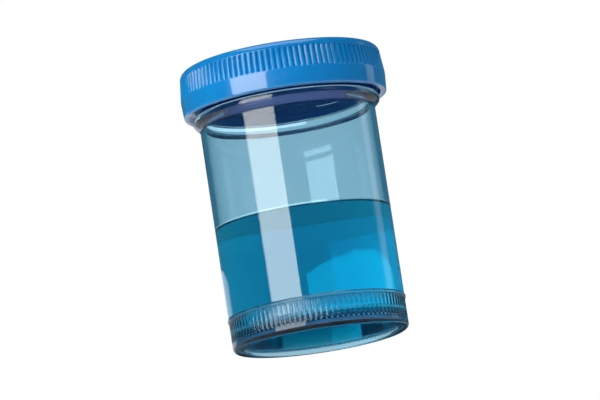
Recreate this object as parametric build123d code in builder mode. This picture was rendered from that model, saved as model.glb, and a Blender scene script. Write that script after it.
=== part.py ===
"""A clear screw-top specimen jar, part full of a blue sample, with a ribbed blue cap.

Millimetres, +Z up. The origin is the centre of the foot, on the surface that the jar stands on.
The jar is one clear moulding, the cap another, and a soft ring seals the mouth between them.
"""

import os
from math import pi

from build123d import *

# Driving dimensions
TOTAL_HEIGHT = 80.5  # foot to top of the closed cap
JAR_RADIUS = 24.8  # outside of the straight wall
WALL = 1.3
CAP_RADIUS = 29.0
CAP_HEIGHT = 13.2
LIQUID_LEVEL = 34.5  # height of the sample's surface above the table

# Foot and grip band of the jar
FOOT_HEIGHT = 2.5  # smooth band under the grip band
FOOT_EDGE = 1.2  # rounding of the foot's outer edge
FOOT_RING_INNER = 21.8
FOOT_RING_SLOPE = 0.6  # how far the ring's inner side leans in
FOOT_RECESS = 1.1  # how far the underside stands clear of the table
FLOOR = 1.6
INNER_CORNER = 2.6  # rounding between the floor and the wall, inside
BAND_HEIGHT = 5.8
BAND_RIBS = 100
BAND_GROOVE = 0.35
LEDGE_HEIGHT = 1.1  # smooth ring that ends the grip band
LEDGE_RISE = 0.3

# Bead and neck of the jar
BEAD_RADIUS = 26.5
BEAD_HEIGHT = 3.5
BEAD_RIDGE = 1.8  # from the top of the bead down to its widest line
BEAD_DRAFT = 0.3  # how far the bead draws in above that line
BEAD_ROUND = 0.5
CAP_GAP = 0.3  # between the bead and the closed cap
NECK_RADIUS = 25.2
LIP_ROUND = 0.5

# Cap
CAP_TOP = 1.6
CAP_CORNER = 2.2  # rounding of the cap's top edge
CAP_PANEL_RADIUS = 23.5
CAP_PANEL_DEPTH = 0.5
CAP_SKIRT_INNER = 27.0
CAP_BAND_HEIGHT = 5.1  # smooth band below the ribs
CAP_BAND_DRAFT = 0.3  # how far the skirt draws in at its lower edge
CAP_RIBS = 108
CAP_RIB_HEIGHT = 5.8
CAP_RIB_DRAFT = 0.6  # how far the skirt draws in from the foot of the ribs to their top
CAP_GROOVE = 0.5
PLUG_RADIUS = 23.1  # outside of the ring that hangs inside the mouth
PLUG_WALL = 1.0
PLUG_LENGTH = 2.6
PLUG_TIP = 0.4

# Seal
SEAL_HEIGHT = 1.0
SEAL_OUTER = 26.4
SEAL_INNER = 23.5

# Thread, right-handed, one start
THREAD_LEAD = 4.2
THREAD_ROOT = 1.7  # axial width at the root
THREAD_CREST = 0.9
THREAD_BITE = 0.4  # how deep a thread's root is sunk in the wall that carries it
THREAD_LEAD_IN = 1.4  # from the mouth to the top of the neck's thread
NECK_CREST = 26.4
NECK_TURNS = 1.5
CAP_CREST = 25.6
CAP_TURNS = 1.25
NECK_THREAD_ANGLE = 33.0  # where the neck's thread starts, about the axis
CAP_THREAD_LAG = 90.0  # the cap's thread starts this much later, and so higher
FLANK_OFFSET = 1.5  # the cap's thread runs this far below the neck's

# Shared
GROOVE_SHARE = 0.8  # of the pitch of the ribs that a groove takes
GROOVE_OUTSIDE = 0.3  # how far a groove's cutter stands out of the surface
LIQUID_CLEARANCE = 0.05  # between the sample's solid and the jar's

# Worked out from the above
band_top = FOOT_HEIGHT + BAND_HEIGHT
cap_bottom = TOTAL_HEIGHT - CAP_HEIGHT
cap_underside = TOTAL_HEIGHT - CAP_TOP
cap_rib_bottom = cap_bottom + CAP_BAND_HEIGHT
cap_top_draft = CAP_RIB_DRAFT * (CAP_HEIGHT - CAP_BAND_HEIGHT) / CAP_RIB_HEIGHT
bead_top = cap_bottom - CAP_GAP
bead_bottom = bead_top - BEAD_HEIGHT
mouth = cap_underside - SEAL_HEIGHT
inner_radius = JAR_RADIUS - WALL
floor_top = FOOT_RECESS + FLOOR
neck_thread_start = mouth - THREAD_LEAD_IN - THREAD_ROOT / 2 - NECK_TURNS * THREAD_LEAD
cap_thread_start = neck_thread_start - FLANK_OFFSET + THREAD_LEAD * CAP_THREAD_LAG / 360


def grooves(count, radius, depth, bottom, height, draft=0):
    """A ring of upright V-shaped cutters, with their points the given depth inside the radius.
    The draft is how far they lean in towards the axis at their top."""
    half_width = GROOVE_SHARE * pi * radius / count
    with BuildPart(mode=Mode.PRIVATE) as cutter:
        for level, drawn_in in ((bottom, 0), (bottom + height, draft)):
            with BuildSketch(Plane.XY.offset(level)):
                with Locations((radius - drawn_in, 0)):
                    Polygon(
                        (GROOVE_OUTSIDE, half_width),
                        (0, half_width),
                        (-depth, 0),
                        (0, -half_width),
                        (GROOVE_OUTSIDE, -half_width),
                        align=None,
                    )
        loft()
    with BuildPart(mode=Mode.PRIVATE) as cutters:
        with PolarLocations(0, count):
            add(cutter.part)
    return cutters.part


def thread(root_radius, crest_radius, bottom, turns):
    """One helical thread of trapezoid section, with its root sunk in the wall that carries it."""
    outward = 1 if crest_radius > root_radius else -1
    sunk = root_radius - outward * THREAD_BITE
    with BuildPart(mode=Mode.PRIVATE) as helical:
        with BuildLine() as path:
            Helix(THREAD_LEAD, turns * THREAD_LEAD, sunk, center=(0, 0, bottom))
        with BuildSketch(Plane((sunk, 0, bottom), x_dir=(1, 0, 0), z_dir=(0, -1, 0))) as section:
            with BuildLine():
                Polyline(
                    (0, -THREAD_ROOT / 2),
                    (root_radius - sunk, -THREAD_ROOT / 2),
                    (crest_radius - sunk, -THREAD_CREST / 2),
                    (crest_radius - sunk, THREAD_CREST / 2),
                    (root_radius - sunk, THREAD_ROOT / 2),
                    (0, THREAD_ROOT / 2),
                    close=True,
                )
            make_face()
        sweep(section.sketch, path=path.line, is_frenet=True)
    return helical.part


# Jar: foot, grip band, straight wall, bead, threaded neck and mouth, in one moulding
with BuildPart() as jar:
    with BuildSketch(Plane.XZ) as jar_profile:
        with BuildLine():
            Polyline(
                (0, FOOT_RECESS),
                (FOOT_RING_INNER - FOOT_RING_SLOPE, FOOT_RECESS),
                (FOOT_RING_INNER, 0),
                (JAR_RADIUS, 0),
                (JAR_RADIUS, band_top),
            )
            ThreePointArc(
                (JAR_RADIUS, band_top),
                (JAR_RADIUS + LEDGE_RISE, band_top + LEDGE_HEIGHT / 2),
                (JAR_RADIUS, band_top + LEDGE_HEIGHT),
            )
            Polyline(
                (JAR_RADIUS, band_top + LEDGE_HEIGHT),
                (JAR_RADIUS, bead_bottom),
                (BEAD_RADIUS, bead_top - BEAD_RIDGE),
                (BEAD_RADIUS - BEAD_DRAFT, bead_top),
                (NECK_RADIUS, bead_top),
                (NECK_RADIUS, mouth),
                (inner_radius, mouth),
                (inner_radius, floor_top),
                (0, floor_top),
                (0, FOOT_RECESS),
            )
        make_face()
        corners = jar_profile.vertices()
        fillet(corners.filter_by(lambda v: v.X > JAR_RADIUS - 0.1 and v.Y < 0.1), FOOT_EDGE)
        fillet(corners.filter_by(lambda v: v.X > BEAD_RADIUS - BEAD_DRAFT - 0.1), BEAD_ROUND)
        fillet(corners.filter_by(lambda v: v.X > inner_radius - 0.1 and v.Y > mouth - 0.1), LIP_ROUND)
        fillet(
            corners.filter_by(lambda v: abs(v.X - inner_radius) + abs(v.Y - floor_top) < 0.1),
            INNER_CORNER,
        )
    revolve(axis=Axis.Z)
    add(
        thread(NECK_RADIUS, NECK_CREST, neck_thread_start, NECK_TURNS),
        rotation=(0, 0, NECK_THREAD_ANGLE),
    )
    add(
        grooves(BAND_RIBS, JAR_RADIUS, BAND_GROOVE, FOOT_HEIGHT, BAND_HEIGHT),
        mode=Mode.SUBTRACT,
    )

# Sample: a blue liquid that fills the jar from its floor to a level surface
with BuildPart() as liquid:
    with BuildSketch(Plane.XZ) as liquid_profile:
        with Locations((0, floor_top + LIQUID_CLEARANCE)):
            Rectangle(
                inner_radius - LIQUID_CLEARANCE,
                LIQUID_LEVEL - floor_top - LIQUID_CLEARANCE,
                align=(Align.MIN, Align.MIN),
            )
        fillet(liquid_profile.vertices().group_by(Axis.Y)[0].sort_by(Axis.X)[-1], INNER_CORNER)
    revolve(axis=Axis.Z)

# Cap: ribbed skirt over a smooth band, internal thread, and a plug ring inside the mouth
with BuildPart() as screw_cap:
    with BuildSketch(Plane.XZ) as cap_profile:
        with BuildLine():
            Polyline(
                (0, cap_underside),
                (0, TOTAL_HEIGHT - CAP_PANEL_DEPTH),
                (CAP_PANEL_RADIUS - CAP_PANEL_DEPTH, TOTAL_HEIGHT - CAP_PANEL_DEPTH),
                (CAP_PANEL_RADIUS, TOTAL_HEIGHT),
                (CAP_RADIUS - cap_top_draft, TOTAL_HEIGHT),
                (CAP_RADIUS, cap_rib_bottom),
                (CAP_RADIUS - CAP_BAND_DRAFT, cap_bottom),
                (CAP_SKIRT_INNER, cap_bottom),
                (CAP_SKIRT_INNER, cap_underside),
                (PLUG_RADIUS, cap_underside),
                (PLUG_RADIUS, cap_underside - PLUG_LENGTH),
                (PLUG_RADIUS - PLUG_WALL, cap_underside - PLUG_LENGTH),
                (PLUG_RADIUS - PLUG_WALL, cap_underside),
                (0, cap_underside),
            )
        make_face()
        corners = cap_profile.vertices()
        fillet(corners.group_by(Axis.Y)[-1].sort_by(Axis.X)[-1], CAP_CORNER)
        fillet(corners.group_by(Axis.Y)[0], PLUG_TIP)
        fillet(
            corners.filter_by(lambda v: abs(v.Y - cap_underside + PLUG_LENGTH) < 0.1),
            PLUG_TIP,
        )
    revolve(axis=Axis.Z)
    add(
        thread(CAP_SKIRT_INNER, CAP_CREST, cap_thread_start, CAP_TURNS),
        rotation=(0, 0, NECK_THREAD_ANGLE + CAP_THREAD_LAG),
    )
    add(
        grooves(
            CAP_RIBS, CAP_RADIUS, CAP_GROOVE, cap_rib_bottom, CAP_RIB_HEIGHT, CAP_RIB_DRAFT
        ),
        mode=Mode.SUBTRACT,
    )

# Seal: a flat soft ring, pressed between the jar's lip and the cap's underside
with BuildPart() as seal_ring:
    with BuildSketch(Plane.XY.offset(mouth)) as seal_section:
        Circle(SEAL_OUTER)
        Circle(SEAL_INNER, mode=Mode.SUBTRACT)
    extrude(amount=SEAL_HEIGHT)

os.makedirs("parts", exist_ok=True)
jar.part.label = "jar"
export_step(jar.part, "parts/jar.step")
liquid.part.label = "liquid"
export_step(liquid.part, "parts/liquid.step")
screw_cap.part.label = "screw_cap"
export_step(screw_cap.part, "parts/screw_cap.step")
seal_ring.part.label = "seal_ring"
export_step(seal_ring.part, "parts/seal_ring.step")
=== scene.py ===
# %% [markdown]
# # A screw-top specimen jar with a blue sample
#
# This lesson finishes a small jar that was designed in CAD: a clear moulded jar, a ribbed blue
# screw cap, a soft seal ring, and the liquid inside. CAD holds the true sizes and the screw
# motion. Here each piece gets a fine mesh and a material that behaves like the real one.
# Every piece of this jar is round, so most of them start the same way, as an outline that is
# spun about the axis, like work on a lathe.

import math

import bpy
import numpy as np
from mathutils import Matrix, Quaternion, Vector


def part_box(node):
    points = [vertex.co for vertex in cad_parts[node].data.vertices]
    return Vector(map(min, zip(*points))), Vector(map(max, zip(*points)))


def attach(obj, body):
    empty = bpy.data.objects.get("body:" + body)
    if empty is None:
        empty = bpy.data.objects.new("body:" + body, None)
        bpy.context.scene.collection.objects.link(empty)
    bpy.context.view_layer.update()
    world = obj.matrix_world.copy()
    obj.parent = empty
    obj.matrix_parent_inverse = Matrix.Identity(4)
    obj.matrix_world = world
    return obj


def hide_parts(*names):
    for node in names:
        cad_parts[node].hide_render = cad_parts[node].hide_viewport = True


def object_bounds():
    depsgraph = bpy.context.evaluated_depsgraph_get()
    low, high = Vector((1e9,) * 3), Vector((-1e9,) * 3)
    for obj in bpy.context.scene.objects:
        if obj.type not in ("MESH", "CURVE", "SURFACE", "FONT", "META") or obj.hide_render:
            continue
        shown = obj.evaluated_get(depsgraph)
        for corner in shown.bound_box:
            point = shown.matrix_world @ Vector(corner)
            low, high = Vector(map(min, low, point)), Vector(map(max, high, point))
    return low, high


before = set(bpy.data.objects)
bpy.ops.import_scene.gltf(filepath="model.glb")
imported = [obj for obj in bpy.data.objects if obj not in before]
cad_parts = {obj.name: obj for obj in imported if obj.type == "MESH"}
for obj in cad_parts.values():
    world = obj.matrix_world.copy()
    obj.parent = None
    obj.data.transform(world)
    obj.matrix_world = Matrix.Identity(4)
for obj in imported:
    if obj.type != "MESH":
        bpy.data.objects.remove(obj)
cad_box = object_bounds()

# %% [markdown]
# ## Sizes
#
# The big sizes are read from the CAD nodes, so the new pieces always fit them. Only the small
# ones that a box can't tell, such as a wall's thickness, are written here, in millimetres.

# %% Sizes from the CAD, in millimetres
MM = 0.001
TURN = 2 * math.pi


def box_mm(node):
    """A CAD node's outer radius, lowest height and highest height, in millimetres."""
    low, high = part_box(node)
    return high.x / MM, low.z / MM, high.z / MM


bead_radius, foot, mouth = box_mm("jar")
liquid_radius, liquid_low, level = box_mm("liquid")
cap_radius, cap_bottom, cap_top = box_mm("screw_cap")
seal_radius, seal_low, seal_high = box_mm("seal_ring")

LIQUID_CLEARANCE = 0.05
WALL = 1.3
inner_radius = liquid_radius + LIQUID_CLEARANCE
jar_radius = inner_radius + WALL
floor_top = liquid_low - LIQUID_CLEARANCE
print("jar", jar_radius, "mm radius, mouth at", mouth, "level at", level)

# %% [markdown]
# ## Camera
#
# The camera stands a little below the jar and looks up at it, so that the rims bow upwards and
# the underside of the cap shows through the clear wall. It is also turned about its own line of
# sight, which makes the jar lean the way a hand holds it. A long lens keeps the sides parallel.

# %% Camera
VIEW_ELEVATION = -10.0
VIEW_ROLL = -8.7
LENS = 300.0
SENSOR = 36.0
FRAME_HEIGHT_SHARE = 400 / 600
TALL_IN_FRAME = 0.112  # metres that the frame's height takes in

centre = (cad_box[0] + cad_box[1]) / 2
lift = math.radians(VIEW_ELEVATION)
towards_camera = Vector((0, -math.cos(lift), math.sin(lift)))
distance = TALL_IN_FRAME / FRAME_HEIGHT_SHARE * LENS / SENSOR
bpy.ops.object.camera_add(location=centre + towards_camera * distance)
camera = bpy.context.object
camera.name = "camera"
camera.rotation_mode = "QUATERNION"
aim = (-towards_camera).to_track_quat("-Z", "Y")
camera.rotation_quaternion = aim @ Quaternion((0, 0, 1), math.radians(VIEW_ROLL))
camera.data.lens = LENS
camera.data.sensor_width = SENSOR
camera.data.clip_start = 0.01
bpy.context.scene.camera = camera
print("camera", round(distance, 3), "m away")

# %% [markdown]
# ## Lathe tools
#
# On the real jar every outline was turned into a steel mould. The same idea works here: draw
# half of the section as a chain of edges, round its corners with a vertex bevel, and spin it.
# A cylinder primitive with bevelled rims would be quicker, but it has no wall, foot or neck.
# One quad may run the whole height of a wall, and smooth shading then spreads the tilt of a
# rounded corner all along it, which bends every reflection. So a long run gets a row of points
# near each end. A piece's object stays at the origin, and its place is in its mesh.

# %% Lathe tools
ROUND_STEPS = 5
MERGE = 0.000001
LONG_RUN = 8.0  # a straight run over this length gets a row of points near each end
BRACE = 0.5  # how far past the corner's rounding that row lies
ON_SPOT = 0.001  # points nearer than this count as the same place
SMOOTH_ANGLE = 40  # degrees between faces, over which an edge stays sharp


def select_where(piece, rule):
    """Selects the vertices that rule picks from arrays of x, y and z in mm, in edit mode."""
    bpy.ops.object.mode_set(mode="OBJECT")
    mesh = piece.data
    places = np.empty(3 * len(mesh.vertices), dtype=np.float32)
    mesh.vertices.foreach_get("co", places)
    x, y, z = places.reshape(-1, 3).T / MM
    chosen = rule(x, y, z)
    mesh.polygons.foreach_set("select", np.zeros(len(mesh.polygons), dtype=bool))
    mesh.edges.foreach_set("select", np.zeros(len(mesh.edges), dtype=bool))
    mesh.vertices.foreach_set("select", chosen)
    bpy.ops.object.mode_set(mode="EDIT")
    return int(chosen.sum())


def start_piece(name, add_primitive, **sizes):
    """Adds a primitive at the origin with nothing else selected, and opens it in edit mode."""
    if bpy.context.object.mode == "EDIT":
        bpy.ops.object.mode_set(mode="OBJECT")
    bpy.ops.object.select_all(action="DESELECT")
    add_primitive(**sizes)
    piece = bpy.context.object
    piece.name = piece.data.name = name
    bpy.ops.object.mode_set(mode="EDIT")
    bpy.ops.mesh.select_mode(type="VERT")
    return piece


def brace(outline):
    """Adds a row near each end of a long run, so that the shading of a rounded corner stays
    at the corner and the wall beside it reflects like a straight one."""
    braced = []
    for start, end in zip(outline, outline[1:]):
        braced.append(start)
        length = math.hypot(end[0] - start[0], end[1] - start[1])
        if length > LONG_RUN:
            near_ends = [length - end[2] - BRACE] if end[0] else []
            if start[0]:
                near_ends.insert(0, start[2] + BRACE)
            for along in near_ends:
                share = along / length
                radius = start[0] + (end[0] - start[0]) * share
                braced.append((radius, start[1] + (end[1] - start[1]) * share, 0))
    return braced + [outline[-1]]


def draw_outline(name, outline):
    """Draws half a section from rows of radius, height and corner rounding, in mm."""
    outline = brace(outline)
    piece = start_piece(name, bpy.ops.mesh.primitive_plane_add, size=MM)
    bpy.ops.mesh.merge(type="CENTER")
    at = Vector((0, 0, 0))
    for number, (radius, height, _) in enumerate(outline):
        to = Vector((radius * MM, 0, height * MM))
        if number == 0:
            bpy.ops.transform.translate(value=to - at)
        else:
            bpy.ops.mesh.extrude_region_move(TRANSFORM_OT_translate={"value": to - at})
        at = to
    for radius, height, rounding in outline:
        if rounding:
            select_where(piece, lambda x, y, z: np.hypot(x - radius, z - height) < ON_SPOT)
            bpy.ops.mesh.bevel(
                offset=rounding * MM,
                offset_type="OFFSET",
                segments=ROUND_STEPS,
                affect="VERTICES",
                clamp_overlap=False,
            )
    return piece


def spin_outline(piece, columns):
    """Spins the outline once round the axis and closes its seam and its poles."""
    bpy.ops.mesh.select_all(action="SELECT")
    bpy.ops.mesh.spin(steps=columns, angle=TURN, center=(0, 0, 0), axis=(0, 0, 1))
    bpy.ops.mesh.select_all(action="SELECT")
    bpy.ops.mesh.remove_doubles(threshold=MERGE)
    bpy.ops.mesh.normals_make_consistent(inside=False)


def finish_piece(piece, smooth_angle=SMOOTH_ANGLE):
    """Leaves edit mode and smooths all but the sharp edges."""
    bpy.ops.object.mode_set(mode="OBJECT")
    bpy.ops.object.select_all(action="DESELECT")
    piece.select_set(True)
    bpy.context.view_layer.objects.active = piece
    bpy.ops.object.shade_smooth_by_angle(angle=math.radians(smooth_angle))
    open_edges = int(np.sum(edge_uses(piece) != 2))
    print(piece.name, len(piece.data.polygons), "faces,", open_edges, "open edges")


def edge_uses(piece):
    """How many faces meet at each edge."""
    uses = np.zeros(len(piece.data.edges), dtype=int)
    around = np.empty(len(piece.data.loops), dtype=np.int32)
    piece.data.loops.foreach_get("edge_index", around)
    np.add.at(uses, around, 1)
    return uses


# %% [markdown]
# ## Ribs
#
# Cap and jar both have a band of fine upright ribs for the fingers. Each rib takes six columns
# of the spun mesh. The columns that lie in a groove are pulled in towards the axis, and the
# smooth columns beside them round the ribs. A boolean could cut a hundred grooves instead, but
# it is slow and can leave long thin faces, and bump alone would leave the cap's outline smooth.

# %% Rib tool
COLUMNS_PER_RIB = 6
GROOVE_SHAPE = (0, 0.04, 0.4, 1, 0.4, 0.04)  # share of the groove's depth, column by column
GROOVE_MARGIN = 0.1  # the height limits clear a row of vertices by this much


def press_ribs(piece, ribs, radius, depth, low, high):
    """Pulls the groove columns in by up to depth, between two heights, on the outer side."""
    columns = ribs * COLUMNS_PER_RIB
    for place, share in enumerate(GROOVE_SHAPE):
        if share == 0:
            continue

        def in_groove(x, y, z):
            column = np.rint(np.arctan2(y, x) / TURN * columns).astype(int) % COLUMNS_PER_RIB
            outer = np.hypot(x, y) > radius - 2 * depth
            return outer & (column == place) & (z > low) & (z < high)

        pressed = select_where(piece, in_groove)
        shrink = (radius - depth * share) / radius
        bpy.ops.transform.resize(value=(shrink, shrink, 1), center_override=(0, 0, 0))
        print(piece.name, "groove column", place, "presses", pressed, "vertices")


# %% [markdown]
# ## Threads
#
# The cap is held by one right-handed thread. Its section is a small trapezoid. A Screw modifier
# winds it up the neck, its two ends are sunk into the wall so that they fade out, and a boolean
# joins it to the piece that carries it, so that jar and thread are one clear body.

# %% Thread tool
THREAD_LEAD = 4.2  # rise of one turn
THREAD_ROOT = 1.7  # height of the ridge at the wall
THREAD_CREST = 0.9  # and at its crest
THREAD_BITE = 0.4  # how deep its root is sunk in the wall
THREAD_STEPS = 120  # in each turn
FADE_STEPS = 12
FADE_DEPTH = 0.9  # share of the ridge that is sunk at its very end
ON_CREST = 0.01  # how near the crest's radius its vertices lie
NEAR_STEP = 0.3  # share of a step within which a vertex belongs to it


def wind_thread(name, root, crest, low, turns, start_degrees):
    """A closed helical ridge whose root is sunk in a wall of radius root, all in mm."""
    outward = 1 if crest > root else -1
    sunk = root - outward * THREAD_BITE
    piece = start_piece(name, bpy.ops.mesh.primitive_plane_add, size=MM)
    bpy.ops.mesh.delete(type="ONLY_FACE")
    bpy.ops.mesh.select_all(action="SELECT")
    bpy.ops.transform.rotate(value=math.pi / 2, orient_axis="X", center_override=(0, 0, 0))
    bpy.ops.transform.resize(value=(abs(crest - sunk), 1, THREAD_ROOT))
    bpy.ops.transform.translate(value=((sunk + crest) / 2 * MM, 0, low * MM))
    select_where(piece, lambda x, y, z: np.abs(x - crest) < ON_CREST)
    bpy.ops.transform.resize(value=(1, 1, THREAD_CREST / THREAD_ROOT))
    bpy.ops.object.mode_set(mode="OBJECT")
    screw = piece.modifiers.new("wind", "SCREW")
    screw.axis = "Z"
    screw.angle = TURN * turns
    screw.screw_offset = THREAD_LEAD * turns * MM
    screw.steps = screw.render_steps = round(THREAD_STEPS * turns)
    screw.use_merge_vertices = False
    bpy.ops.object.modifier_apply(modifier=screw.name)
    bpy.ops.object.mode_set(mode="EDIT")
    bpy.ops.mesh.select_all(action="SELECT")
    bpy.ops.mesh.fill_holes(sides=4)
    for step in range(FADE_STEPS):
        sink = (crest - sunk) * (1 - step / FADE_STEPS) * FADE_DEPTH
        shrink = (crest - sink) / crest
        for end in (step, THREAD_STEPS * turns - step):
            wound = end / THREAD_STEPS

            def at_end(x, y, z):
                on_crest = np.abs(np.hypot(x, y) - crest) < ON_CREST
                height = low + wound * THREAD_LEAD
                near = np.abs(z - height) < THREAD_CREST
                angle = np.arctan2(y, x) / TURN - wound
                turned = np.abs(angle - np.rint(angle)) < NEAR_STEP / THREAD_STEPS
                return on_crest & near & turned

            select_where(piece, at_end)
            bpy.ops.transform.resize(value=(shrink, shrink, 1), center_override=(0, 0, 0))
    bpy.ops.mesh.select_all(action="SELECT")
    bpy.ops.mesh.normals_make_consistent(inside=False)
    bpy.ops.transform.rotate(
        value=-math.radians(start_degrees), orient_axis="Z", center_override=(0, 0, 0)
    )
    bpy.ops.object.mode_set(mode="OBJECT")
    return piece


def join_thread(piece, thread):
    """Unites a thread with the piece that carries it, and removes the loose one."""
    bpy.ops.object.mode_set(mode="OBJECT")
    bpy.ops.object.select_all(action="DESELECT")
    piece.select_set(True)
    bpy.context.view_layer.objects.active = piece
    union = piece.modifiers.new("thread", "BOOLEAN")
    union.operation = "UNION"
    union.solver = "EXACT"
    union.object = thread
    bpy.ops.object.modifier_apply(modifier=union.name)
    bpy.data.objects.remove(thread)
    bpy.ops.object.mode_set(mode="EDIT")


# %% [markdown]
# ## The jar
#
# The jar is one injection moulding in clear plastic, with a wall that is a little over a
# millimetre thick. The outline runs from the middle of the underside round the foot, up the
# outside, over the lip and down the inside, so that the wall is a closed body with a true
# thickness. Light then bends at both of its faces, as it does in the real jar.

# %% The jar
FOOT_RECESS = 1.1
FOOT_RING_INNER = 21.8
FOOT_RING_DRAFT = 0.6
INNER_CORNER = 2.6  # where the wall meets the floor inside
BAND_LOW, BAND_HIGH = 2.5, 8.3
BAND_RIBS = 100
BAND_GROOVE = 0.32
GROOVE_END = 0.3  # height over which a groove comes back to the surface
LEDGE_RISE, LEDGE_HEIGHT = 0.3, 1.1
NECK_RADIUS = 25.2
NECK_CREST = 26.4
NECK_TURNS = 1.5
NECK_THREAD_ANGLE = 33.0
BEAD_HEIGHT, CAP_GAP = 3.5, 0.3
BEAD_RIDGE, BEAD_DRAFT = 1.8, 0.3
THREAD_LEAD_IN = 1.4

bead_top = cap_bottom - CAP_GAP
bead_bottom = bead_top - BEAD_HEIGHT
neck_thread_low = mouth - THREAD_LEAD_IN - THREAD_ROOT / 2 - NECK_TURNS * THREAD_LEAD
jar_outline = [
    (0, FOOT_RECESS, 0),
    (FOOT_RING_INNER - FOOT_RING_DRAFT, FOOT_RECESS, 0.4),
    (FOOT_RING_INNER, foot, 0.3),
    (jar_radius, foot, 1.2),
    (jar_radius, BAND_LOW - GROOVE_END, 0),
    (jar_radius, BAND_LOW, 0),
    (jar_radius, BAND_LOW + GROOVE_END, 0),
    (jar_radius, BAND_HIGH - GROOVE_END, 0),
    (jar_radius, BAND_HIGH, 0),
    (jar_radius + LEDGE_RISE, BAND_HIGH + 0.2, 0.2),
    (jar_radius + LEDGE_RISE, BAND_HIGH + LEDGE_HEIGHT - 0.3, 0.3),
    (jar_radius, BAND_HIGH + LEDGE_HEIGHT, 0.3),
    (jar_radius, bead_bottom, 0.5),
    (bead_radius, bead_top - BEAD_RIDGE, 0.5),
    (bead_radius - BEAD_DRAFT, bead_top, 0.4),
    (NECK_RADIUS, bead_top, 0.2),
    (NECK_RADIUS, mouth, 0.5),
    (inner_radius, mouth, 0.3),
    (inner_radius, floor_top, INNER_CORNER),
    (0, floor_top, 0),
]
jar = draw_outline("clear_jar", jar_outline)
spin_outline(jar, BAND_RIBS * COLUMNS_PER_RIB)
join_thread(
    jar,
    wind_thread(
        "neck_thread", NECK_RADIUS, NECK_CREST, neck_thread_low, NECK_TURNS, NECK_THREAD_ANGLE
    ),
)
band_low, band_high = BAND_LOW + GROOVE_MARGIN, BAND_HIGH - GROOVE_MARGIN
press_ribs(jar, BAND_RIBS, jar_radius, BAND_GROOVE, band_low, band_high)
finish_piece(jar)
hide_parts("jar")
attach(jar, "jar")

# %% [markdown]
# ## The sample
#
# A liquid meets its jar with no air between them. Its mesh therefore reaches a tenth of a
# millimetre into the wall. With a gap there, the sides would shine like a mirror. At the top
# it climbs the wall in a small curve, the meniscus, which catches the light as a bright line.

# %% The sample
LIQUID_BITE = 0.12
MENISCUS = 0.8
MENISCUS_TIP = 0.08
LIQUID_COLUMNS = 256

liquid_outer = inner_radius + LIQUID_BITE
liquid_outline = [
    (0, floor_top - LIQUID_BITE, 0),
    (liquid_outer, floor_top - LIQUID_BITE, INNER_CORNER + LIQUID_BITE),
    (liquid_outer, level + MENISCUS, 0),
    (liquid_outer - MENISCUS_TIP, level + MENISCUS, 0),
    (liquid_outer - MENISCUS_TIP, level, MENISCUS - 0.01),
    (0, level, 0),
]
sample = draw_outline("blue_liquid", liquid_outline)
spin_outline(sample, LIQUID_COLUMNS)
finish_piece(sample)
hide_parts("liquid")
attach(sample, "jar")

# %% [markdown]
# ## The screw cap
#
# The cap is a second moulding, in glossy blue plastic. Fine ribs run round the upper part of
# its skirt and end in a smooth band that draws in a little towards the rim. Inside it has its
# own thread, which runs just below the jar's, and a short plug ring that enters the mouth.

# %% The screw cap
CAP_TOP = 1.6
CAP_RIBS = 108
CAP_GROOVE = 0.5
CAP_BAND = 5.1
CAP_RIB_HEIGHT = 5.8
CAP_RIB_DRAFT = 0.6  # how far the skirt draws in over the height of the ribs
CAP_BAND_DRAFT = 0.3
CAP_CORNER = 2.2
CAP_SKIRT_INNER = 27.0
CAP_CREST = 25.6
CAP_TURNS = 1.25
CAP_THREAD_LAG = 90.0
FLANK_OFFSET = 1.5
PLUG_RADIUS, PLUG_WALL, PLUG_LENGTH = 23.1, 1.0, 2.6
PANEL_RADIUS, PANEL_DEPTH = 23.5, 0.5
CAP_SMOOTH_ANGLE = 25

underside = cap_top - CAP_TOP
rib_low = cap_bottom + CAP_BAND
rib_high = rib_low + CAP_RIB_HEIGHT
top_draft = CAP_RIB_DRAFT * (cap_top - rib_low) / CAP_RIB_HEIGHT
cap_thread_low = neck_thread_low - FLANK_OFFSET + THREAD_LEAD * CAP_THREAD_LAG / 360
cap_outline = [
    (0, underside, 0),
    (PLUG_RADIUS - PLUG_WALL, underside, 0.3),
    (PLUG_RADIUS - PLUG_WALL, underside - PLUG_LENGTH, 0.3),
    (PLUG_RADIUS, underside - PLUG_LENGTH, 0.5),
    (PLUG_RADIUS, underside, 0),
    (CAP_SKIRT_INNER, underside, 0.4),
    (CAP_SKIRT_INNER, cap_bottom, 0.4),
    (cap_radius - CAP_BAND_DRAFT, cap_bottom, 0.5),
    (cap_radius, rib_low - GROOVE_END, 0),
    (cap_radius, rib_low, 0),
    (cap_radius, rib_low + GROOVE_END, 0),
    (cap_radius - CAP_RIB_DRAFT, rib_high, 0),
    (cap_radius - CAP_RIB_DRAFT, rib_high + GROOVE_END, 0),
    (cap_radius - top_draft, cap_top, CAP_CORNER - GROOVE_END),
    (PANEL_RADIUS, cap_top, 0.3),
    (PANEL_RADIUS - PANEL_DEPTH, cap_top - PANEL_DEPTH, 0.3),
    (0, cap_top - PANEL_DEPTH, 0),
]
cap = draw_outline("ribbed_cap", cap_outline)
spin_outline(cap, CAP_RIBS * COLUMNS_PER_RIB)
join_thread(
    cap,
    wind_thread(
        "cap_thread",
        CAP_SKIRT_INNER,
        CAP_CREST,
        cap_thread_low,
        CAP_TURNS,
        NECK_THREAD_ANGLE + CAP_THREAD_LAG,
    ),
)
ribs_low, ribs_high = rib_low + GROOVE_MARGIN, rib_high + GROOVE_MARGIN
press_ribs(cap, CAP_RIBS, cap_radius, CAP_GROOVE, ribs_low, ribs_high)
finish_piece(cap, CAP_SMOOTH_ANGLE)
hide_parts("screw_cap")
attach(cap, "cap")

# %% [markdown]
# ## The seal ring
#
# A flat ring of soft foam lies between the cap and the lip. The lip presses a shallow track
# into its lower face.

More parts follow.
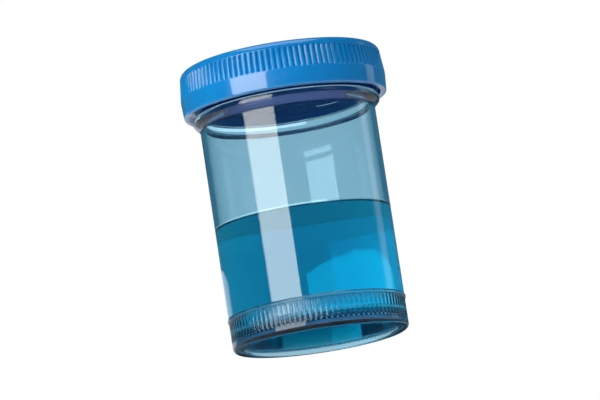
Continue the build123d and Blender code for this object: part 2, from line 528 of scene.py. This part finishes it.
# %% The seal ring
SEAL_INNER = 23.5
SEAL_COLUMNS = 192
TRACK_DEPTH = 0.15
TRACK_INSET = 0.15
TRACK_SLOPE_IN, TRACK_SLOPE_OUT = 0.1, 0.2

track_inner = inner_radius + TRACK_INSET
seal_outline = [
    (SEAL_INNER, seal_low, 0.08),
    (track_inner, seal_low, 0.05),
    (track_inner + TRACK_SLOPE_IN, seal_low + TRACK_DEPTH, 0.05),
    (NECK_RADIUS, seal_low + TRACK_DEPTH, 0.05),
    (NECK_RADIUS + TRACK_SLOPE_OUT, seal_low, 0.05),
    (seal_radius, seal_low, 0.2),
    (seal_radius, seal_high, 0.2),
    (SEAL_INNER, seal_high, 0.08),
]
seal = draw_outline("foam_seal", seal_outline)
select_where(seal, lambda x, y, z: x < SEAL_INNER + ON_SPOT)
bpy.ops.mesh.edge_face_add()
spin_outline(seal, SEAL_COLUMNS)
finish_piece(seal)
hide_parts("seal_ring")
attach(seal, "seal")

# %% [markdown]
# ## Materials
#
# All materials read Object coordinates, which are metres in the jar's own frame, so a pattern
# keeps its real size and turns with its piece. Moulded plastic is never perfectly even: its
# skin has slow waves where it shrank in the mould, and fine scuffs from handling. Both plastics
# share that skin as a node group, each with its own values.

# %% Node tools
def add_group_socket(group, name, in_out, kind="NodeSocketFloat", default=None):
    """Adds an input or output to a node group."""
    socket = group.interface.new_socket(name=name, in_out=in_out, socket_type=kind)
    if default is not None:
        socket.default_value = default


def add_node(tree, kind, **settings):
    """Adds a node. Settings named after an input set that input, and others set the node."""
    node = tree.nodes.new(kind)
    for name, value in settings.items():
        label = name.replace("_", " ").title()
        if label in node.inputs:
            node.inputs[label].default_value = value
        else:
            setattr(node, name, value)
    return node


def add_math(tree, operation, first, second):
    """Adds a Math node. Each of its two values is a number or a socket."""
    node = tree.nodes.new("ShaderNodeMath")
    node.operation = operation
    for socket, value in zip(node.inputs, (first, second)):
        if isinstance(value, (int, float)):
            socket.default_value = value
        else:
            tree.links.new(value, socket)
    return node.outputs[0]


def mix_colours(tree, share, first, second):
    """Adds a node that goes from the first colour to the second as share goes from 0 to 1.
    Each of the two is a colour or a socket."""
    node = tree.nodes.new("ShaderNodeMix")
    node.data_type = "RGBA"
    tree.links.new(share, node.inputs["Factor"])
    for socket, value in ((node.inputs["A"], first), (node.inputs["B"], second)):
        if isinstance(value, tuple):
            socket.default_value = (*value, 1)
        else:
            tree.links.new(value, socket)
    return node.outputs["Result"]


def object_place(tree):
    """Puts out a point's place in the jar's own frame, in metres."""
    return tree.nodes.new("ShaderNodeTexCoord").outputs["Object"]


def new_material(name):
    """An empty material with a Principled shader, and the two that make it up."""
    material = bpy.data.materials.new(name)
    material.use_nodes = True
    return material, material.node_tree, material.node_tree.nodes["Principled BSDF"]


def give_material(piece, material):
    """Puts a material on a piece, and says how many nodes it has."""
    piece.data.materials.append(material)
    print(piece.name, "wears", material.name, "of", len(material.node_tree.nodes), "nodes")


# %% The skin of a moulding, as a shared group
def build_skin_group():
    """Slow waves and fine scuffs: puts out a Roughness, a Height in metres and a Cloud mask."""
    group = bpy.data.node_groups.new("moulded_skin", "ShaderNodeTree")
    add_group_socket(group, "Shine", "INPUT", default=0.05)
    add_group_socket(group, "Scuffing", "INPUT", default=0.1)
    add_group_socket(group, "Wave Depth", "INPUT", default=0.00002)
    add_group_socket(group, "Scuff Depth", "INPUT", default=0.000001)
    add_group_socket(group, "Roughness", "OUTPUT")
    add_group_socket(group, "Height", "OUTPUT")
    add_group_socket(group, "Cloud", "OUTPUT")
    given = group.nodes.new("NodeGroupInput")
    result = group.nodes.new("NodeGroupOutput")
    place = object_place(group)
    wave = add_node(group, "ShaderNodeTexNoise", scale=55.0, detail=2.0, roughness=0.4)
    scuff = add_node(group, "ShaderNodeTexNoise", scale=420.0, detail=7.0, roughness=0.68)
    patch = add_node(group, "ShaderNodeTexNoise", scale=120.0, detail=3.0, roughness=0.5)
    for texture in (wave, scuff, patch):
        group.links.new(place, texture.inputs["Vector"])
    worn = add_node(
        group, "ShaderNodeMapRange", from_min=0.48, from_max=0.72, to_min=0.0, to_max=1.0
    )
    group.links.new(patch.outputs["Fac"], worn.inputs["Value"])
    scuffed = add_math(group, "MULTIPLY", worn.outputs["Result"], scuff.outputs["Fac"])
    added = add_math(group, "MULTIPLY", scuffed, given.outputs["Scuffing"])
    rough = add_math(group, "ADD", given.outputs["Shine"], added)
    waves = add_math(group, "MULTIPLY", wave.outputs["Fac"], given.outputs["Wave Depth"])
    scuffs = add_math(group, "MULTIPLY", scuff.outputs["Fac"], given.outputs["Scuff Depth"])
    height = add_math(group, "ADD", waves, scuffs)
    group.links.new(rough, result.inputs["Roughness"])
    group.links.new(height, result.inputs["Height"])
    group.links.new(patch.outputs["Fac"], result.inputs["Cloud"])
    return group


skin_group = build_skin_group()
print(skin_group.name, "has", len(skin_group.nodes), "nodes")


def add_skin(tree, bsdf, **values):
    """Places the skin group in a material, wires its roughness and bump, and returns it."""
    skin = tree.nodes.new("ShaderNodeGroup")
    skin.node_tree = skin_group
    for name, value in values.items():
        skin.inputs[name.replace("_", " ").title()].default_value = value
    tree.links.new(skin.outputs["Roughness"], bsdf.inputs["Roughness"])
    bump = add_node(tree, "ShaderNodeBump", strength=1.0, distance=1.0)
    tree.links.new(skin.outputs["Height"], bump.inputs["Height"])
    tree.links.new(bump.outputs["Normal"], bsdf.inputs["Normal"])
    return skin


# %% [markdown]
# ## Clear plastic
#
# The jar's plastic is clear with a trace of blue toner. A tint at its surface gives most of the
# blue of the wall seen face on, which takes up only a few hundredths of the light on the way.
# Alone it would look the same wherever light goes through. So a volume that absorbs red is
# added, and thick places, such as the bead, the foot and the edges of the wall, look deeper.

# %% Clear plastic
def clear_plastic():
    material, tree, bsdf = new_material("clear_plastic")
    skin = add_skin(
        tree, bsdf, shine=0.012, scuffing=0.1, wave_depth=0.00006, scuff_depth=0.0000008
    )
    tint = mix_colours(tree, skin.outputs["Cloud"], (0.68, 0.84, 0.9), (0.76, 0.88, 0.93))
    tree.links.new(tint, bsdf.inputs["Base Color"])
    bsdf.inputs["IOR"].default_value = 1.57
    bsdf.inputs["Transmission Weight"].default_value = 1.0
    depth = add_node(tree, "ShaderNodeVolumeAbsorption", color=(0.45, 0.8, 1.0, 1), density=60.0)
    tree.links.new(depth.outputs[0], tree.nodes["Material Output"].inputs["Volume"])
    return material


give_material(jar, clear_plastic())

# %% [markdown]
# ## Blue liquid
#
# A dyed liquid has its colour in its depth: red light is gone after about two centimetres, and
# green and blue go on. A painted surface would look the same from every side, but a volume that
# absorbs is deep blue where it is thick and brighter where light comes through from behind. The
# surface only adds a faint, cloudy tint.

# %% Blue liquid
def blue_liquid():
    material, tree, bsdf = new_material("blue_liquid")
    place = object_place(tree)
    swirl = add_node(tree, "ShaderNodeTexNoise", scale=60.0, detail=2.0, distortion=0.6)
    tree.links.new(place, swirl.inputs["Vector"])
    tint = mix_colours(tree, swirl.outputs["Fac"], (0.75, 0.97, 1.0), (0.95, 1.0, 1.0))
    tree.links.new(tint, bsdf.inputs["Base Color"])
    bsdf.inputs["Roughness"].default_value = 0.0
    bsdf.inputs["IOR"].default_value = 1.335
    bsdf.inputs["Transmission Weight"].default_value = 1.0
    depth = add_node(tree, "ShaderNodeVolumeAbsorption", color=(0.0, 0.87, 0.925, 1), density=160.0)
    tree.links.new(depth.outputs[0], tree.nodes["Material Output"].inputs["Volume"])
    return material


give_material(sample, blue_liquid())

# %% [markdown]
# ## Blue plastic
#
# The cap is glossy, and a little light soaks into it, which is what subsurface scattering does.
# The colour is a little lighter at the full radius than just inside it, a painted highlight on
# the crests of the ribs and painted shade in their grooves. The smooth band below the ribs
# shines more than they do, so its clear coat is at full weight, and theirs is much less. Both
# are told by a point's place, so that no second material is needed.

# %% Blue plastic
CREST_HIGHLIGHT_SHARE = 0.6  # how far the crests go towards a lighter blue, a painted highlight that leaves the grooves in painted shade
BAND_COAT, RIB_COAT = 1.0, 0.3


def blue_plastic():
    material, tree, bsdf = new_material("blue_plastic")
    skin = add_skin(tree, bsdf, shine=0.13, scuffing=0.3, wave_depth=0.00002, scuff_depth=0.000003)
    place = object_place(tree)
    flat = add_node(tree, "ShaderNodeVectorMath", operation="MULTIPLY")
    flat.inputs[1].default_value = (1, 1, 0)
    tree.links.new(place, flat.inputs[0])
    length = add_node(tree, "ShaderNodeVectorMath", operation="LENGTH")
    tree.links.new(flat.outputs["Vector"], length.inputs[0])
    # Painted highlight and shade: by radius, the rib crests get a lighter blue and the grooves keep
    # the darker body colour.
    crest = add_node(
        tree,
        "ShaderNodeMapRange",
        from_min=(cap_radius - CAP_GROOVE) * MM,
        from_max=cap_radius * MM,
    )
    tree.links.new(length.outputs["Value"], crest.inputs["Value"])
    body = mix_colours(tree, skin.outputs["Cloud"], (0.001, 0.21, 0.56), (0.002, 0.245, 0.63))
    crest_highlight_share = add_math(tree, "MULTIPLY", crest.outputs["Result"], CREST_HIGHLIGHT_SHARE)
    shaded_rib_colour = mix_colours(tree, crest_highlight_share, body, (0.006, 0.29, 0.76))
    tree.links.new(shaded_rib_colour, bsdf.inputs["Base Color"])
    bsdf.inputs["IOR"].default_value = 1.5
    height = tree.nodes.new("ShaderNodeSeparateXYZ")
    tree.links.new(place, height.inputs[0])
    polish = add_node(
        tree,
        "ShaderNodeMapRange",
        from_min=(rib_low - GROOVE_END) * MM,
        from_max=(rib_low + GROOVE_END) * MM,
        to_min=BAND_COAT,
        to_max=RIB_COAT,
    )
    tree.links.new(height.outputs["Z"], polish.inputs["Value"])
    tree.links.new(polish.outputs["Result"], bsdf.inputs["Coat Weight"])
    bsdf.inputs["Coat Roughness"].default_value = 0.03
    bsdf.inputs["Subsurface Weight"].default_value = 0.6
    bsdf.inputs["Subsurface Radius"].default_value = (0.3, 0.8, 1.6)
    bsdf.inputs["Subsurface Scale"].default_value = 0.0025
    return material


give_material(cap, blue_plastic())

# %% [markdown]
# ## Foam
#
# The seal is a closed-cell foam: soft, matte, blue like the cap, and finely pitted. The pits are
# far smaller than its mesh could hold, so they are a cell pattern that drives colour and bump.

# %% Foam
def seal_foam():
    material, tree, bsdf = new_material("seal_foam")
    place = object_place(tree)
    cells = add_node(tree, "ShaderNodeTexVoronoi", scale=3500.0)
    tree.links.new(place, cells.inputs["Vector"])
    tint = mix_colours(tree, cells.outputs["Distance"], (0.01, 0.24, 0.52), (0.04, 0.36, 0.7))
    tree.links.new(tint, bsdf.inputs["Base Color"])
    bump = add_node(tree, "ShaderNodeBump", strength=0.6, distance=0.0001)
    tree.links.new(cells.outputs["Distance"], bump.inputs["Height"])
    tree.links.new(bump.outputs["Normal"], bsdf.inputs["Normal"])
    bsdf.inputs["Roughness"].default_value = 0.75
    return material


give_material(seal, seal_foam())

# %% [markdown]
# ## Floor
#
# The jar stands on a plain pale floor. The floor shows only from above, so that a camera under
# its level still sees the jar, and it fades out with distance, so that no horizon shows. A
# curved sweep would hide the horizon too, but it would stand in the way of a low camera.

# %% Floor
FLOOR_SIZE = 3.0
FADE_START, FADE_END = 0.25, 0.9


def pale_floor():
    material, tree, bsdf = new_material("pale_floor")
    place = object_place(tree)
    grain = add_node(tree, "ShaderNodeTexNoise", scale=30.0, detail=4.0)
    tree.links.new(place, grain.inputs["Vector"])
    tint = mix_colours(tree, grain.outputs["Fac"], (0.8, 0.81, 0.82), (0.84, 0.85, 0.86))
    tree.links.new(tint, bsdf.inputs["Base Color"])
    bsdf.inputs["Roughness"].default_value = 0.6
    length = add_node(tree, "ShaderNodeVectorMath", operation="LENGTH")
    tree.links.new(place, length.inputs[0])
    far = add_node(
        tree,
        "ShaderNodeMapRange",
        interpolation_type="SMOOTHSTEP",
        from_min=FADE_START,
        from_max=FADE_END,
    )
    tree.links.new(length.outputs["Value"], far.inputs["Value"])
    below = tree.nodes.new("ShaderNodeNewGeometry").outputs["Backfacing"]
    hidden = add_math(tree, "MAXIMUM", far.outputs["Result"], below)
    clear = tree.nodes.new("ShaderNodeBsdfTransparent")
    mixed = tree.nodes.new("ShaderNodeMixShader")
    tree.links.new(hidden, mixed.inputs["Fac"])
    tree.links.new(bsdf.outputs[0], mixed.inputs[1])
    tree.links.new(clear.outputs[0], mixed.inputs[2])
    tree.links.new(mixed.outputs[0], tree.nodes["Material Output"].inputs["Surface"])
    return material


floor = start_piece("floor", bpy.ops.mesh.primitive_plane_add, size=FLOOR_SIZE)
bpy.ops.object.mode_set(mode="OBJECT")
give_material(floor, pale_floor())
print("floor", FLOOR_SIZE, "m wide, gone at", FADE_END, "m from the jar")

# %% [markdown]
# ## Light
#
# One large softbox stands at the left in front of the jar. It lights the cap and mirrors in the
# glossy sides as one upright stripe with sharp edges. A dimmer one at the right draws a thin
# stripe along the far edge, one behind shines through the liquid, and a wide one hangs above.
# A rectangular area lamp does this with no other mesh in the room. The camera sees none of them.

# %% Light
WARM = (1.0, 0.95, 0.88)


def add_softbox(name, azimuth, elevation, away, width, height, brightness, colour=(1, 1, 1)):
    """A rectangular lamp facing the jar. Azimuth runs from the camera's side to the left."""
    turn, rise = math.radians(azimuth), math.radians(elevation)
    sideways = math.cos(rise)
    out = Vector((-math.sin(turn) * sideways, -math.cos(turn) * sideways, math.sin(rise)))
    bpy.ops.object.light_add(type="AREA", location=centre + out * away)
    lamp = bpy.context.object
    lamp.name = name
    lamp.rotation_mode = "QUATERNION"
    lamp.rotation_quaternion = (-out).to_track_quat("-Z", "Y")
    lamp.data.shape = "RECTANGLE"
    lamp.data.size = width
    lamp.data.size_y = height
    lamp.data.energy = brightness * math.pi * width * height
    lamp.data.color = colour
    lamp.visible_camera = False
    print(name, width, "x", height, "m,", round(lamp.data.energy, 2), "W")


# azimuth and elevation in degrees, then distance, width and height in metres, and brightness
add_softbox("key_left", 36.7, 10, 0.6, 0.45, 0.5, 4.3, WARM)
add_softbox("edge_right", -115, 12, 0.6, 0.15, 0.4, 0.5)
add_softbox("low_back", 160, -0.2, 0.7, 0.55, 0.2, 0.7)
add_softbox("overhead", 0, 80, 0.8, 0.7, 0.7, 2.0)

# %% [markdown]
# ## World
#
# Clear plastic in front of pure white would have hardly any edges, because all that it bends
# and mirrors is white too. In a real studio, grey and black cards stand around the set. Here the
# world's colour is chosen by the kind of ray that meets it, which needs no cards: white straight
# behind the jar, a pale grey blue seen through it, a dark blue seen in a reflection, and a grey
# that lights opaque surfaces. So a part of the blue in the clear wall is the room's and not the
# plastic's, and in another room the jar looks clearer.

# %% World
BACKDROP = (1.0, 1.0, 1.0)  # seen straight on
ROOM = (0.5, 0.69, 0.77)  # seen through the jar
DARK_ROOM = (0.05, 0.17, 0.26)  # seen in a reflection
FILL = (0.26, 0.27, 0.28)  # lights what is not clear
GLASS_BOUNCES = 24  # a ray crosses many faces of the wall and the sample

world = bpy.data.worlds.new("studio")
bpy.context.scene.world = world
world.use_nodes = True
tree = world.node_tree
path = tree.nodes.new("ShaderNodeLightPath")
mirrored = add_math(tree, "GREATER_THAN", path.outputs["Glossy Depth"], 0.5)
scattered = add_math(tree, "GREATER_THAN", path.outputs["Diffuse Depth"], 0.5)
room = mix_colours(tree, mirrored, ROOM, DARK_ROOM)
lighting = mix_colours(tree, scattered, room, FILL)
sky = mix_colours(tree, path.outputs["Is Camera Ray"], lighting, BACKDROP)
tree.links.new(sky, tree.nodes["Background"].inputs["Color"])
bpy.context.scene.view_settings.view_transform = "Standard"
bpy.context.scene.cycles.max_bounces = GLASS_BOUNCES
bpy.context.scene.cycles.transmission_bounces = GLASS_BOUNCES
bpy.context.scene.cycles.use_denoising = True
print(world.name, "chooses its colour with", len(tree.nodes), "nodes")

# %% [markdown]
# ## Sizes at the end
# CAD set the sizes, so the finished pieces have to fill the same box. The CAD box is written
# down. Measuring by eye would miss a tenth of a millimetre.

# %% Write the CAD box and finish
print("CAD box", [list(corner) for corner in cad_box])
